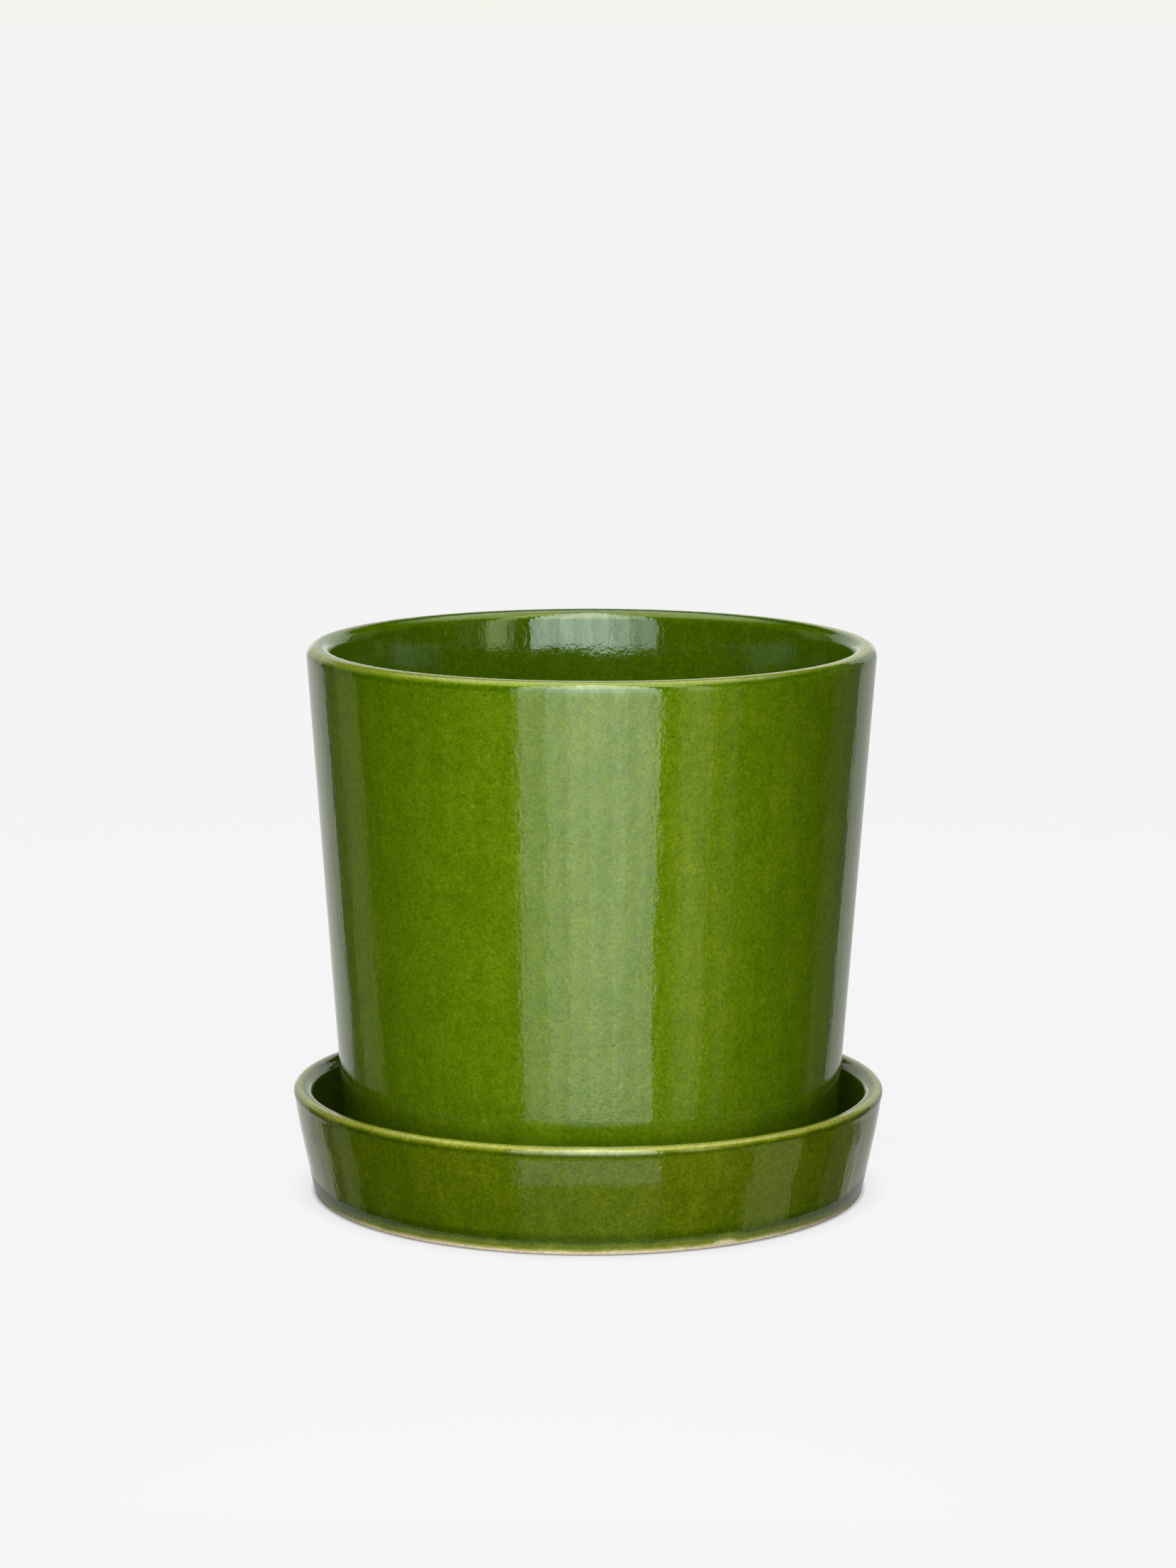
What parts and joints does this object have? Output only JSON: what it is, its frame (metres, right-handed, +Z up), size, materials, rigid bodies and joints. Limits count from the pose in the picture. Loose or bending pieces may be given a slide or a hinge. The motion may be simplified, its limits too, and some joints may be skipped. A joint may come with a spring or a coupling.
{
  "type": "plant pot",
  "caption": "Glazed terracotta plant pot with gently flared walls and a drain hole, standing in its own flared saucer.",
  "frame": {"origin": "middle of the saucer's foot, on the surface it stands on", "axes": "+Z up along the common axis of the pot and saucer; both are round about Z, and +Y is through one of the pot's drain notches, away from the viewer"},
  "size_m": [0.1886, 0.1886, 0.176],
  "materials": {
    "saucer_glaze": "gloss transparent olive-green glaze over pale terracotta, thin and yellow on the rim, bare clay under the foot",
    "pot_glaze": "gloss transparent olive-green glaze over pale terracotta, thin and yellow on the rim, bare clay under the foot"
  },
  "bodies": {
    "saucer": {"saucer": "saucer_glaze"},
    "pot": {"pot": "pot_glaze"}
  },
  "joints": [
    {"name": "pot_lift", "type": "slide", "parent": "saucer", "child": "pot", "axis": [0, 0, 1], "range_m": [0, 0.06]}
  ]
}
